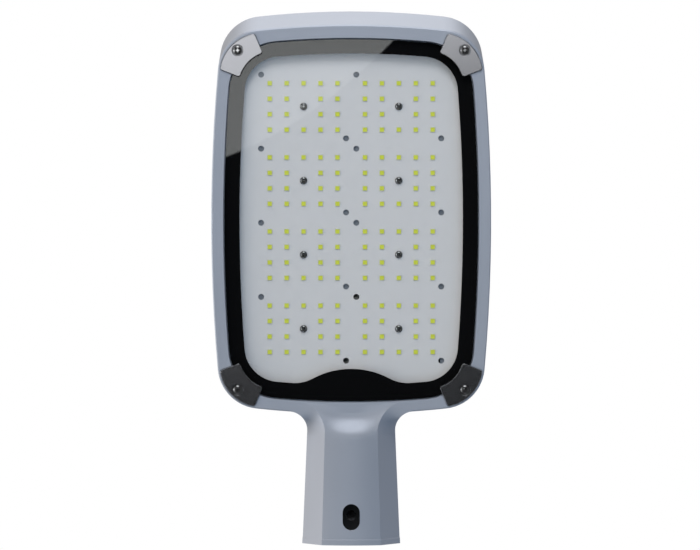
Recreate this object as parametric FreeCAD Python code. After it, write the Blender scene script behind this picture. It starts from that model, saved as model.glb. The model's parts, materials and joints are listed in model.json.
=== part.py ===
import FreeCAD, Part
import math
import os
from FreeCAD import Vector

os.makedirs("parts", exist_ok=True)

# LED street light head. Millimetres, +Z up, +Y from the pole towards the nose.
# The origin is the centre of the spigot's mouth, and the LED side looks down (-Z).

# Head outline in plan: two bowed sides, two bowed ends and four corner arcs
head_half_w = 105.0
head_half_l = 145.2
side_bow_r = 1279.0
end_bow_r = 662.0
head_corner_r = 32.3
rim_side = 8.9
rim_end = 8.45
recess_corner_r = 38.9
rim_chamfer = 0.8

# Heights of the casting
rim_z = -24.0
shoulder_z = -4.0
wall_top_z = 5.0
nose_reach = 12.6
nose_rim_reach = 1.1
nose_pinch = 1.2
wall_top_inset = 4.0
frame_wall = 7.0
deck_t = 4.4

# Glass, print and seal
glass_t = 4.0
glass_sunk = 1.0
glass_gap = 0.7
glass_arris = 0.5
print_t = 0.2
print_edge = 0.1
gasket_t = 1.5
gasket_w = 4.6
gasket_edge = 0.5
ledge_w = 7.0
window_inset = 12.2
window_shift = 0.7
wave_half_w = 42.8
wave_rise = 10.7
wave_crest_r = 60.8

# Board and LEDs
board_t = 1.6
board_margin = 2.5
board_depth = 5.3
board_screw_l = 4.6
module_columns = 2
module_rows = 4
module_pitch_x = 71.7
module_rear_in = 63.5
module_nose_in = 59.5
led_columns = 5
led_rows = 4
led_pitch_x = 12.75
led_pitch_y = 11.65
led_w = 3.5
led_l = 3.5
led_h = 0.7
tool_hole_d = 4.5
tool_hole_x = 31.97
tool_hole_y = 24.0

# Corner clamps
clamp_t = 2.4
clamp_border = 1.7
clamp_fit = 0.4
clamp_side_angle = 23.8
clamp_end_angle = 21.7
clamp_bite = 5.2
clamp_inner_r = 26.0
clamp_round = 2.0
clamp_screw_in = 5.6
counterbore_d = 8.2
counterbore_depth = 1.4

# Spigot for a 60 mm pole end
neck_l = 98.2
bore_d = 61.0
bore_length = 66.0
neck_half_w = 36.7
neck_root_half_w = 33.1
neck_flat_half_w = 22.0
neck_root_flat_half_w = 19.7
neck_side_z = 8.0
neck_edge_z = 31.5
neck_root_edge_z = 30.0
neck_crown = 3.5
neck_root_crown = 3.0
neck_fillet_r = 14.0
neck_sink = 0.04
neck_straight_l = 68.5
crease_rise_before = 14.2
middle_rise_before = 18.2
middle_rise_after = 0.0
side_rise_before = 6.0
side_merge = 0.55
flare_steps = 9
root_steps = 7
lip_l = 3.9
lip_proud = 0.22
lip_ramp_l = 0.9
lip_ramp_sink = 0.1
slot_y = 21.1
slot_w = 12.9
slot_l = 19.6
slot_chamfer = 0.4
relief_mouth_r = 25.0

# Pole screws on the top of the neck
pole_screw_d = 8.0
pole_screw_y = 18.5
pole_screw_pitch = 32.0
pole_screw_l = 19.0
pole_screw_back = 0.3
pole_key_af = 4.0
pole_pad_half_w = 10.0
pole_pad_z = 40.0
pole_nut_af = 13.0
pole_nut_h = 6.5

# Driver compartment and its hump on the top
room_half_w = 67.0
room_front_in = 90.8
room_corner_r = 8.0
room_top_z = 30.0
hump_wall = 6.0
hump_top_t = 4.0
hump_corner_r = 14.0
hump_bevel = 7.0
hump_bevel_in = 5.0
post_d = 9.0

# Cooling fins
fin_t = 2.6
fin_pitch = 13.0
fin_count = 15
fin_rear_z = 24.0
fin_nose_z = 9.0

# Cable gland
gland_wall = 6.0
gland_thread_d = 16.0
gland_af = 20.0
gland_cable_d = 8.0
gland_hex_t = 4.5
gland_seal_t = 1.5
gland_cap_l = 14.0
gland_collar_l = 6.0
gland_relief = 2.5
gland_dome = 3.0
gland_cap_t = 2.0

# What the compartment holds
driver_h = 27.0
driver_side_gap = 1.35
driver_rear_gap = 3.5
driver_front_gap = 2.0
ear_t = 2.0
ear_out = 9.0
ear_rear_in = 24.0
ear_front_in = 11.0
block_w = 22.0
block_l = 16.0
block_h = 16.0
block_side_gap = 5.0
connector_w = 14.0
connector_l = 8.0
connector_h = 5.5
connector_x = -4.0
lead_out_x = -22.0
lead_out_d = 3.5
lead_in_d = 5.0
lead_hole_d = 8.0
lead_out_r = 7.0
lead_in_r = 12.0
lead_out_in = 2.5
lead_straight = 2.0
lead_clear = 0.3
lead_hole_shift = 0.7
block_gap = 2.5
block_entry_d = 4.0
block_entry_l = 4.0
earth_side_gap = 11.5
earth_post_h = 6.0
room_screw_bite = 2.6

# Screws: thread diameter, head diameter, head height
m3 = {"d": 3.0, "head_d": 5.6, "head_h": 2.2}
m4 = {"d": 4.0, "head_d": 7.0, "head_h": 1.9}
m4_low = {"d": 4.0, "head_d": 8.0, "head_h": 2.4}
screw_clearance = 0.2
tip_room = 0.6
clamp_screw_l = 12.0

# Places along Y that follow from the values above
head_centre_y = neck_l + head_half_l
crease_rise_first_y = neck_l - crease_rise_before
middle_rise_first_y = neck_l - middle_rise_before
middle_rise_last_y = neck_l + middle_rise_after
room_front_y = neck_l + room_front_in
module_pitch_y = (2.0 * head_half_l - module_rear_in - module_nose_in) / (module_rows - 1)
module_centre_y = head_centre_y + (module_rear_in - module_nose_in) / 2.0

# Places across the head
driver_w = module_pitch_x - post_d - 2.0 * driver_side_gap
block_x = room_half_w - block_side_gap - block_w / 2.0
earth_x = -(room_half_w - earth_side_gap - post_d / 2.0)

# Heights that follow from the values above
glass_z = rim_z + glass_sunk
glass_in_z = glass_z + glass_t
print_top_z = glass_in_z + print_t
ledge_z = print_top_z + gasket_t
board_z = ledge_z + board_depth
seat_z = board_z + board_t
deck_z = seat_z + deck_t
hump_top_z = room_top_z + hump_top_t
clamp_z = glass_z - clamp_t
clamp_seat_z = clamp_z + counterbore_depth
driver_z = room_top_z - driver_h
room_screw_top_z = room_top_z + room_screw_bite
earth_seat_z = room_top_z - earth_post_h
lead_in_z = room_top_z - block_h / 2.0
bore_r = bore_d / 2.0
big = 500.0


def save(name, shape):
    """Write one node and say how large it is."""
    shape.exportStep("parts/" + name + ".step")
    volume = round(shape.Volume / 1000.0, 2)
    print(name, "solids", len(shape.Solids), "valid", shape.isValid(), "cm3", volume)


def prism(wire, z_low, z_high):
    """Raise a flat wire that lies at z = 0 into a solid between two heights."""
    solid = Part.Face(wire).extrude(Vector(0, 0, z_high - z_low))
    solid.translate(Vector(0, 0, z_low))
    return solid


def upright(radius, x, y, z_low, z_high):
    """A round bar along Z."""
    return Part.makeCylinder(radius, z_high - z_low, Vector(x, y, z_low))


def along_y(radius, y_low, y_high, x=0.0, z=0.0):
    """A round bar along Y."""
    return Part.makeCylinder(radius, y_high - y_low, Vector(x, y_low, z), Vector(0, 1, 0))


def block(x_low, x_high, y_low, y_high, z_low, z_high):
    """A square block between six planes."""
    corner = Vector(x_low, y_low, z_low)
    return Part.makeBox(x_high - x_low, y_high - y_low, z_high - z_low, corner)


def corner_centre(half_w, half_l, side_r, end_r, corner_r):
    """Where the corner arc's centre lies, measured from the outline's own centre."""
    ax = half_w - side_r
    by = half_l - end_r
    ra = side_r - corner_r
    rb = end_r - corner_r
    gap = math.hypot(ax, by)
    along = (ra * ra - rb * rb + gap * gap) / (2.0 * gap)
    across = math.sqrt(ra * ra - along * along)
    ux = -ax / gap
    uy = by / gap
    return ax + along * ux - across * uy, along * uy + across * ux


def bowed_points(half_w, half_l, side_r, end_r, corner_r):
    """Side tangent point, corner middle and end tangent point of the first corner."""
    cx, cy = corner_centre(half_w, half_l, side_r, end_r, corner_r)
    side_angle = math.atan2(cy, cx - (half_w - side_r))
    end_angle = math.atan2(cy - (half_l - end_r), cx)
    mid_angle = (side_angle + end_angle) / 2.0
    points = []
    for angle in (side_angle, mid_angle, end_angle):
        points.append((cx + corner_r * math.cos(angle), cy + corner_r * math.sin(angle)))
    return points


def bowed_outline(half_w, half_l, side_r, end_r, corner_r, z=0.0, push=0.0, pinch=0.0):
    """The head's outline as a wire of eight arcs, with its nose pushed out and its nose corners in."""
    side, mid, end = bowed_points(half_w, half_l, side_r, end_r, corner_r)

    def at(x, y):
        shift = push if y > 0 else (push / 2.0 if y == 0 else 0.0)
        narrow = math.copysign(pinch, x) if y > 0 and x != 0 else 0.0
        return Vector(x - narrow, head_centre_y + y + shift, z)

    runs = [
        (at(side[0], -side[1]), at(half_w, 0), at(side[0], side[1])),
        (at(side[0], side[1]), at(mid[0], mid[1]), at(end[0], end[1])),
        (at(end[0], end[1]), at(0, half_l), at(-end[0], end[1])),
        (at(-end[0], end[1]), at(-mid[0], mid[1]), at(-side[0], side[1])),
        (at(-side[0], side[1]), at(-half_w, 0), at(-side[0], -side[1])),
        (at(-side[0], -side[1]), at(-mid[0], -mid[1]), at(-end[0], -end[1])),
        (at(-end[0], -end[1]), at(0, -half_l), at(end[0], -end[1])),
        (at(end[0], -end[1]), at(mid[0], -mid[1]), at(side[0], -side[1])),
    ]
    return Part.Wire([Part.Arc(a, b, c).toShape() for a, b, c in runs])


def head_outline(inset=0.0, z=0.0, push=0.0):
    """The casting's outer outline, moved inwards."""
    return bowed_outline(
        head_half_w - inset,
        head_half_l - inset,
        side_bow_r - inset,
        end_bow_r - inset,
        head_corner_r - inset,
        z,
        push,
        nose_pinch * push / nose_reach,
    )


def recess_outline(inset=0.0, z=0.0):
    """The glass recess's outline, moved inwards; glass, seal, print and board all follow it."""
    return bowed_outline(
        head_half_w - rim_side - inset,
        head_half_l - rim_end - inset,
        side_bow_r - rim_side - inset,
        end_bow_r - rim_end - inset,
        recess_corner_r - inset,
        z,
    )


def neck_end_y(x, inset=0.0):
    """The y of the recess's neck end at a distance x from the middle."""
    radius = end_bow_r - rim_end - inset
    middle_y = head_centre_y - (head_half_l - rim_end - inset) + radius
    return middle_y - math.sqrt(radius * radius - x * x)


def rounded_rect(x_half, y_low, y_high, radius, z=0.0):
    """A rectangle with round corners, centred on x = 0."""
    wire = []
    cut = radius * (1.0 - math.sqrt(0.5))
    corners = [
        (x_half, y_low, -1, 1),
        (x_half, y_high, -1, -1),
        (-x_half, y_high, 1, -1),
        (-x_half, y_low, 1, 1),
    ]
    marks = []
    for i, (x, y, sx, sy) in enumerate(corners):
        along_x = Vector(x + sx * radius, y, z)
        along_y_side = Vector(x, y + sy * radius, z)
        middle = Vector(x + sx * cut, y + sy * cut, z)
        first, last = (along_x, along_y_side) if i % 2 == 0 else (along_y_side, along_x)
        marks.append((first, middle, last))
    for i, (first, middle, last) in enumerate(marks):
        wire.append(Part.Arc(first, middle, last).toShape())
        wire.append(Part.LineSegment(last, marks[(i + 1) % 4][0]).toShape())
    return Part.Wire(wire)


def cross_recess(x, y, z_face, head_d, depth):
    """The crossed slots of a screw head, cut up from the head's face."""
    arm = head_d * 0.3
    half = head_d * 0.075
    low = z_face - tip_room
    one = block(x - arm, x + arm, y - half, y + half, low, z_face + depth)
    other = block(x - half, x + half, y - arm, y + arm, low, z_face + depth)
    return one.fuse(other)


def pan_screw(size, x, y, z_seat, length):
    """A pan head screw with its head below z_seat and its shank above."""
    radius = size["head_d"] / 2.0
    height = size["head_h"]
    edge = height * 0.45
    side = upright(radius, x, y, z_seat - edge, z_seat)
    slope = Part.makeCone(radius * 0.7, radius, height - edge, Vector(x, y, z_seat - height))
    shank = upright(size["d"] / 2.0, x, y, z_seat - edge, z_seat + length)
    slots = cross_recess(x, y, z_seat - height, size["head_d"], height * 0.5)
    return side.fuse([slope, shank]).cut(slots).removeSplitter()


def hexagon(across_flats, z_low, z_high, x, y):
    """A hexagonal bar along Z."""
    radius = across_flats / math.sqrt(3.0)
    points = []
    for i in range(7):
        angle = math.radians(60.0 * i)
        points.append(Vector(x + radius * math.cos(angle), y + radius * math.sin(angle), z_low))
    return Part.Face(Part.makePolygon(points)).extrude(Vector(0, 0, z_high - z_low))


def lay_along_y(shape):
    """Turn a shape built along +Z so that it runs along +Y."""
    turned = shape.copy()
    turned.rotate(Vector(0, 0, 0), Vector(1, 0, 0), -90)
    return turned


def smooth(share):
    """A soft step from 0 to 1."""
    share = min(1.0, max(0.0, share))
    return share * share * (3.0 - 2.0 * share)


def blend(first, last, share):
    """A value between two others."""
    return first + (last - first) * share


bow_middle_y = head_centre_y - head_half_l + end_bow_r
fillet_x = neck_root_half_w + neck_fillet_r
fillet_reach = end_bow_r - neck_sink + neck_fillet_r
fillet_y = bow_middle_y - math.sqrt(fillet_reach * fillet_reach - fillet_x * fillet_x)
fillet_turn = math.atan2(bow_middle_y - fillet_y, fillet_x)
crease_r_first = fillet_x - neck_root_flat_half_w
crease_r_last = fillet_reach - (end_bow_r - rim_end)
crease_rise_last_y = fillet_y + crease_r_last * math.sin(fillet_turn)

# Where the compartment and what it holds lie along Y
room_rear_y = neck_end_y(room_half_w, ledge_w)
gland_face_y = room_rear_y - gland_wall
relief_end_r = gland_af / math.sqrt(3.0) + gland_relief
driver_low_y = room_rear_y + driver_rear_gap
driver_high_y = room_front_y - driver_front_gap
block_y = room_rear_y + block_gap + block_l / 2.0
lead_in_y = block_y + block_l / 2.0 + lead_in_r + lead_straight
lead_out_y = driver_low_y + lead_out_in


def neck_ring(outer, crease, middle_y, run):
    """One closed section of the neck; run is the way past the fillet's start along the side."""
    xo, yo = outer
    xc, yc = crease
    share = yc / fillet_y
    rise = smooth((yc - crease_rise_first_y) / (crease_rise_last_y - crease_rise_first_y))
    rise_mid = smooth((middle_y - middle_rise_first_y) / (middle_rise_last_y - middle_rise_first_y))
    edge = blend(neck_edge_z, neck_root_edge_z, share)
    crown = blend(neck_edge_z + neck_crown, neck_root_edge_z + neck_root_crown, share)
    low_end = rim_z + neck_sink
    high_end = hump_top_z - neck_sink
    side_run = side_rise_before + side_merge * neck_fillet_r * fillet_turn
    side_rise = smooth((run + side_rise_before) / side_run)
    low_outer = blend(-neck_side_z, low_end, side_rise)
    high_outer = blend(neck_side_z, hump_top_z - hump_bevel - neck_sink, side_rise)
    a = Vector(-xo, yo, low_outer)
    b = Vector(-xc, yc, blend(-edge, low_end, rise))
    m = Vector(0, middle_y, blend(-crown, low_end, rise_mid))
    c = Vector(xc, yc, b.z)
    d = Vector(xo, yo, low_outer)
    top_a = Vector(-xo, yo, high_outer)
    top_b = Vector(-xc, yc, blend(edge, high_end, rise))
    top_m = Vector(0, middle_y, blend(crown, high_end, rise_mid))
    top_c = Vector(xc, yc, top_b.z)
    top_d = Vector(xo, yo, high_outer)
    return [
        Part.Arc(b, m, c).toShape(),
        Part.LineSegment(c, d).toShape(),
        Part.LineSegment(d, top_d).toShape(),
        Part.LineSegment(top_d, top_c).toShape(),
        Part.Arc(top_c, top_m, top_b).toShape(),
        Part.LineSegment(top_b, top_a).toShape(),
        Part.LineSegment(top_a, a).toShape(),
        Part.LineSegment(a, b).toShape(),
    ]


def straight_ring(y, inset=0.0):
    """The neck's section square to the pole, moved inwards."""
    share = y / fillet_y
    half = blend(neck_half_w, neck_root_half_w, share) - inset
    flat = blend(neck_flat_half_w, neck_root_flat_half_w, share) - inset * 0.4
    ring = neck_ring((half, y), (flat, y), y, y - fillet_y)
    if inset == 0.0:
        return ring
    scale = FreeCAD.Matrix()
    scale.scale(1.0, 1.0, (neck_edge_z - inset) / neck_edge_z)
    return [edge.transformGeometry(scale) for edge in ring]


def flare_ring(step):
    """A section of the flare that turns about the fillet's centre."""
    lift = step / float(flare_steps)
    angle = fillet_turn * lift
    crease_r = blend(crease_r_first, crease_r_last, lift)
    outer = (fillet_x - neck_fillet_r * math.cos(angle), fillet_y + neck_fillet_r * math.sin(angle))
    crease = (fillet_x - crease_r * math.cos(angle), fillet_y + crease_r * math.sin(angle))
    last_x = fillet_x - crease_r_last * math.cos(fillet_turn)
    bow = neck_end_y(last_x) - neck_end_y(0)
    return neck_ring(outer, crease, crease[1] - bow * smooth(lift), neck_fillet_r * angle)


def neck():
    """The spigot's outside: a straight tapering run and the flare into the head."""
    rings = []
    for step in range(root_steps):
        rings.append(straight_ring(blend(neck_straight_l, fillet_y, step / float(root_steps))))
    for step in range(flare_steps + 1):
        rings.append(flare_ring(step))
    mouth = Part.Wire(straight_ring(0.0))
    straight = Part.makeLoft([mouth, Part.Wire(rings[0])], False, True)
    flare = Part.makeLoft([Part.Wire(ring) for ring in rings], False, False)
    bottom_arc, right_low, right_side, right_top, top_arc = rings[-1][:5]
    corners = [right_low.Vertexes[0].Point, right_low.Vertexes[1].Point]
    corners += [right_top.Vertexes[0].Point, right_top.Vertexes[1].Point, corners[0]]
    right = Part.Face(Part.makePolygon(corners))
    left = right.mirror(Vector(0, 0, 0), Vector(1, 0, 0))
    height = top_arc.Vertexes[0].Point.z - bottom_arc.Vertexes[0].Point.z
    back = bottom_arc.extrude(Vector(0, 0, height))
    shell = Part.Shell(straight.Faces + flare.Faces + [Part.Face(mouth), left, right, back])
    shell.sewShape()
    solid = Part.Solid(shell)
    solid.fix(0.001, 0.001, 0.001)
    if solid.Volume < 0:
        solid.reverse()
    return solid


def hump_outline(inset=0.0, z=0.0):
    """The hump in plan: its rear follows the head's bowed end, and its front is straight."""
    half = room_half_w + hump_wall - inset
    front = room_front_y + hump_wall - inset
    radius = hump_corner_r
    bow = end_bow_r - inset
    cx = half - radius
    cy = bow_middle_y - math.sqrt((bow - radius) ** 2 - cx * cx)
    reach = math.hypot(cx, bow_middle_y - cy)
    tx = cx / reach
    ty = (cy - bow_middle_y) / reach
    rear = Vector(tx * bow, bow_middle_y + ty * bow, z)
    turn = (math.atan2(ty, tx)) / 2.0
    rear_mid = Vector(cx + radius * math.cos(turn), cy + radius * math.sin(turn), z)
    side_low = Vector(half, cy, z)
    side_high = Vector(half, front - radius, z)
    slant = radius * math.sqrt(0.5)
    front_mid = Vector(cx + slant, front - radius + slant, z)
    front_end = Vector(cx, front, z)

    def other(point):
        return Vector(-point.x, point.y, point.z)

    edges = [
        Part.Arc(other(rear), Vector(0, bow_middle_y - bow, z), rear).toShape(),
        Part.Arc(rear, rear_mid, side_low).toShape(),
        Part.LineSegment(side_low, side_high).toShape(),
        Part.Arc(side_high, front_mid, front_end).toShape(),
        Part.LineSegment(front_end, other(front_end)).toShape(),
        Part.Arc(other(front_end), other(front_mid), other(side_high)).toShape(),
        Part.LineSegment(other(side_high), other(side_low)).toShape(),
        Part.Arc(other(side_low), other(rear_mid), other(rear)).toShape(),
    ]
    return Part.Wire(edges)


def module_centres():
    """The middle of each group of LEDs."""
    centres = []
    for row in range(module_rows):
        for column in range(module_columns):
            x = (column - (module_columns - 1) / 2.0) * module_pitch_x
            y = module_centre_y + (row - (module_rows - 1) / 2.0) * module_pitch_y
            centres.append((x, y))
    return centres


def over_room(x, y):
    """Whether a board screw lies over the open compartment and needs a post."""
    return abs(x) < room_half_w and y < room_front_y


def clamp_layout():
    """One corner clamp's arc centres (recess, rim and inner edge) and its screw."""
    gx, gy = corner_centre(
        head_half_w - rim_side,
        head_half_l - rim_end,
        side_bow_r - rim_side,
        end_bow_r - rim_end,
        recess_corner_r,
    )
    hx, hy = corner_centre(head_half_w, head_half_l, side_bow_r, end_bow_r, head_corner_r)
    slant = math.sqrt(0.5)
    inner_mid = recess_corner_r - glass_gap - clamp_bite
    inner = (gx + (inner_mid - clamp_inner_r) * slant, gy + (inner_mid - clamp_inner_r) * slant)
    outer_mid = ray_to_circle(gx, gy, 45.0, hx, hy, head_corner_r - clamp_border)
    reach = math.hypot(outer_mid[0] - gx, outer_mid[1] - gy) - clamp_screw_in
    screw = (gx + reach * slant, gy + reach * slant)
    return (gx, gy), (hx, hy), inner, screw


def ray_to_circle(x, y, degrees, cx, cy, radius):
    """The far point where a ray from (x, y) meets a circle."""
    ux = math.cos(math.radians(degrees))
    uy = math.sin(math.radians(degrees))
    along = (cx - x) * ux + (cy - y) * uy
    off = (cx - x) ** 2 + (cy - y) ** 2 - along * along
    reach = along + math.sqrt(radius * radius - off)
    return x + reach * ux, y + reach * uy


def clamp_plate(grow, z_low, z_high):
    """The nose clamp on the +X side as a plate, or its pocket when it is grown."""
    corner, rim_corner, inner = clamp_layout()[:3]
    outer_r = head_corner_r - clamp_border + grow
    inner_r = clamp_inner_r - grow
    spread = math.degrees(grow / recess_corner_r)
    marks = []
    for angle in (45.0 - clamp_side_angle - spread, 45.0, 45.0 + clamp_end_angle + spread):
        far = ray_to_circle(corner[0], corner[1], angle, rim_corner[0], rim_corner[1], outer_r)
        near = ray_to_circle(corner[0], corner[1], angle, inner[0], inner[1], inner_r)
        marks.append((Vector(near[0], near[1], 0), Vector(far[0], far[1], 0)))
    edges = [
        Part.LineSegment(marks[0][0], marks[0][1]).toShape(),
        Part.Arc(marks[0][1], marks[1][1], marks[2][1]).toShape(),
        Part.LineSegment(marks[2][1], marks[2][0]).toShape(),
        Part.Arc(marks[2][0], marks[1][0], marks[0][0]).toShape(),
    ]
    plate = prism(Part.Wire(edges), z_low, z_high)
    height = z_high - z_low
    uprights = [edge for edge in plate.Edges if abs(edge.BoundBox.ZLength - height) < 1e-6]
    plate = plate.makeFillet(clamp_round + grow, uprights)
    plate.translate(Vector(0, head_centre_y, 0))
    return plate


def four_corners(shape):
    """A shape at the nose's +X corner and its three mirrored copies."""
    middle = Vector(0, head_centre_y, 0)
    left = shape.mirror(middle, Vector(1, 0, 0))
    neck_right = shape.mirror(middle, Vector(0, 1, 0))
    neck_left = left.mirror(middle, Vector(0, 1, 0))
    return {"nose_right": shape, "nose_left": left, "neck_right": neck_right, "neck_left": neck_left}


def clamp_screw_places():
    """The middle of each clamp screw."""
    x, y = clamp_layout()[3]
    return [(sx * x, head_centre_y + sy * y) for sx in (1, -1) for sy in (1, -1)]


def fins():
    """Upright plates along the head, cut to the frame of the casting."""
    pocket = prism(head_outline(frame_wall, 0.0, nose_reach), deck_z - 0.5, hump_top_z)
    rear = room_front_y + hump_wall
    nose = head_centre_y + head_half_l + nose_reach
    slope = fin_rear_z - wall_top_z
    points = [(0, deck_z - 0.5), (nose, deck_z - 0.5), (nose, fin_nose_z), (rear, fin_rear_z)]
    start = head_centre_y - head_half_l + frame_wall
    points += [(start + slope + hump_bevel, fin_rear_z), (start, wall_top_z), (0, wall_top_z)]
    plates = []
    for i in range(fin_count):
        x = (i - (fin_count - 1) / 2.0) * fin_pitch - fin_t / 2.0
        outline = Part.makePolygon([Vector(x, y, z) for y, z in points + points[:1]])
        plates.append(Part.Face(outline).extrude(Vector(fin_t, 0, 0)))
    return Part.makeCompound(plates).common(pocket)


def casting_body():
    """The pan with its sloping nose and the frame round the cooling fins."""
    chamfer_reach = blend(nose_rim_reach, nose_reach, rim_chamfer / (shoulder_z - rim_z))
    sections = [
        head_outline(rim_chamfer, rim_z, nose_rim_reach),
        head_outline(0.0, rim_z + rim_chamfer, chamfer_reach),
        head_outline(0.0, shoulder_z, nose_reach),
        head_outline(wall_top_inset, wall_top_z, nose_reach),
    ]
    body = Part.makeLoft(sections, True, True)
    pocket = prism(head_outline(frame_wall, 0.0, nose_reach), deck_z, wall_top_z + 1.0)
    return body.cut(pocket)


def hump():
    """The driver compartment's cover, part of the casting."""
    wires = [
        hump_outline(0.0, deck_z - 1.0),
        hump_outline(0.0, hump_top_z - hump_bevel),
        hump_outline(hump_bevel_in, hump_top_z),
    ]
    return Part.makeLoft(wires, True, True)


def stadium(width, length, y, z):
    """A slot's outline along Y, centred on x = 0."""
    half = width / 2.0
    flat = length / 2.0 - half
    right_low = Vector(half, y - flat, z)
    right_high = Vector(half, y + flat, z)
    left_high = Vector(-half, y + flat, z)
    left_low = Vector(-half, y - flat, z)
    edges = [
        Part.LineSegment(right_low, right_high).toShape(),
        Part.Arc(right_high, Vector(0, y + length / 2.0, z), left_high).toShape(),
        Part.LineSegment(left_high, left_low).toShape(),
        Part.Arc(left_low, Vector(0, y - length / 2.0, z), right_low).toShape(),
    ]
    return Part.Wire(edges)


def bore_tools():
    """What is cut from the casting along the pole's axis and round the mouth."""
    tools = [along_y(bore_r, -1.0, bore_length)]
    relief_l = gland_face_y - bore_length
    relief_at = Vector(0, bore_length, 0)
    tools.append(Part.makeCone(relief_mouth_r, relief_end_r, relief_l, relief_at, Vector(0, 1, 0)))
    tools.append(along_y(gland_thread_d / 2.0, gland_face_y - 1.0, room_rear_y + 5.0))
    face_z = -(neck_edge_z + neck_crown)
    slot = Part.Face(stadium(slot_w, slot_l, slot_y, 0)).extrude(Vector(0, 0, bore_r))
    slot.translate(Vector(0, 0, face_z - 5.0))
    wider = 4.0 * slot_chamfer
    wide = stadium(slot_w + wider, slot_l + wider, slot_y, face_z - slot_chamfer)
    narrow = stadium(slot_w, slot_l, slot_y, face_z + slot_chamfer)
    tools.append(slot)
    tools.append(Part.makeLoft([wide, narrow], True, True))
    for y in pole_screw_places():
        tools.append(upright(pole_screw_d / 2.0, 0, y, bore_r - 3.0, pole_pad_z + 1.0))
    return tools


def pole_screw_places():
    """The y of each pole screw."""
    return [pole_screw_y, pole_screw_y + pole_screw_pitch]


def room_tools():
    """What is cut from the casting for the glass, the board and the driver."""
    tools = [prism(recess_outline(), rim_z - 1.0, ledge_z)]
    tools.append(prism(recess_outline(ledge_w), ledge_z - 1.0, seat_z))
    room_wire = rounded_rect(room_half_w, room_rear_y, room_front_y, room_corner_r)
    room = prism(room_wire, seat_z - 1.0, room_top_z)
    posts = [upright(post_d / 2.0, earth_x, block_y, earth_seat_z, room_top_z)]
    for x, y in module_centres():
        if over_room(x, y):
            posts.append(upright(post_d / 2.0, x, y, seat_z, room_top_z))
    tools.append(room.cut(Part.makeCompound(posts)))
    tools += four_corners(clamp_plate(clamp_fit, rim_z - 1.0, glass_z)).values()
    return tools


def screw_holes():
    """The casting's blind threaded holes."""
    holes = []
    for x, y in module_centres():
        holes.append(upright(m3["d"] / 2.0, x, y, seat_z - 0.5, board_z + board_screw_l + tip_room))
    for x, y in clamp_screw_places():
        holes.append(upright(m4["d"] / 2.0, x, y, rim_z - 1.0, clamp_seat_z + clamp_screw_l + tip_room))
    for x, y in driver_screw_places():
        holes.append(upright(m4_low["d"] / 2.0, x, y, room_top_z - 0.5, room_screw_top_z + tip_room))
    tip_z = room_screw_top_z + tip_room
    holes.append(upright(m3["d"] / 2.0, block_x, block_y, room_top_z - 0.5, tip_z))
    holes.append(upright(m4_low["d"] / 2.0, earth_x, block_y, earth_seat_z - 0.5, tip_z))
    return holes


def driver_screw_places():
    """The middle of the driver's two ears, at opposite corners."""
    x = driver_w / 2.0 + ear_out / 2.0
    return [(x, driver_low_y + ear_rear_in), (-x, driver_high_y - ear_front_in)]


def lip():
    """The raised band round the spigot's mouth, with a ramp behind it."""
    steps = [(0.0, -lip_proud), (lip_l, -lip_proud), (lip_l + lip_ramp_l, lip_ramp_sink)]
    rings = [Part.Wire(straight_ring(y, inset)) for y, inset in steps]
    return Part.makeLoft(rings, True, True)


def housing():
    """One light metal casting: rim, pan, fins, driver compartment and spigot."""
    pad_y = (pole_screw_places()[0] + pole_screw_places()[1]) / 2.0
    pad_l = pole_screw_pitch + 2.0 * pole_pad_half_w
    pad = prism(stadium(2.0 * pole_pad_half_w, pad_l, pad_y, 0), bore_r - 4.0, pole_pad_z)
    body = casting_body().fuse([hump(), neck(), lip(), pad, fins()])
    body = body.cut(room_tools())
    body = body.cut(bore_tools())
    body = body.cut(screw_holes())
    return body.removeSplitter()


def glass_cover():
    """Flat toughened glass with a small arris round its outer face."""
    glass = prism(recess_outline(glass_gap), glass_z, glass_in_z)
    rim_edges = [edge for edge in glass.Edges if abs(edge.BoundBox.ZMax - glass_z) < 1e-6]
    return glass.makeChamfer(glass_arris, rim_edges)


def wave_bump(z_low, z_high):
    """The crest in the print's inner edge at the neck end, as a plate."""
    turn = 2.0 * math.atan(wave_rise / wave_half_w)
    valley_r = wave_half_w / math.sin(turn) - wave_crest_r
    base_y = neck_end_y(wave_half_w, window_inset)
    low_y = base_y - window_inset / 2.0
    half = turn / 2.0
    crest_y = base_y + wave_rise
    join_x = wave_crest_r * math.sin(turn)
    join_y = crest_y - wave_crest_r * (1.0 - math.cos(turn))
    flank_x = wave_half_w - valley_r * math.sin(half)
    flank_y = base_y + valley_r * (1.0 - math.cos(half))

    def at(x, y):
        return Vector(x, y, 0)

    edges = [
        Part.LineSegment(at(-wave_half_w, low_y), at(wave_half_w, low_y)).toShape(),
        Part.LineSegment(at(wave_half_w, low_y), at(wave_half_w, base_y)).toShape(),
        Part.Arc(at(wave_half_w, base_y), at(flank_x, flank_y), at(join_x, join_y)).toShape(),
        Part.Arc(at(join_x, join_y), at(0, crest_y), at(-join_x, join_y)).toShape(),
        Part.Arc(at(-join_x, join_y), at(-flank_x, flank_y), at(-wave_half_w, base_y)).toShape(),
        Part.LineSegment(at(-wave_half_w, base_y), at(-wave_half_w, low_y)).toShape(),
    ]
    return prism(Part.Wire(edges), z_low, z_high)


def glass_border_print():
    """The border printed on the inside of the glass."""
    ring = prism(recess_outline(glass_gap + print_edge), glass_in_z, print_top_z)
    window = prism(recess_outline(window_inset), glass_in_z - 1.0, print_top_z + 1.0)
    bump = wave_bump(glass_in_z, print_top_z)
    for shape in (window, bump):
        shape.translate(Vector(0, window_shift, 0))
    return ring.cut(window).fuse(bump).removeSplitter()


def glass_gasket():
    """The seal between the printed border and the ledge."""
    outer = glass_gap + gasket_edge
    ring = prism(recess_outline(outer), print_top_z, ledge_z)
    return ring.cut(prism(recess_outline(outer + gasket_w), print_top_z - 1.0, ledge_z + 1.0))


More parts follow.
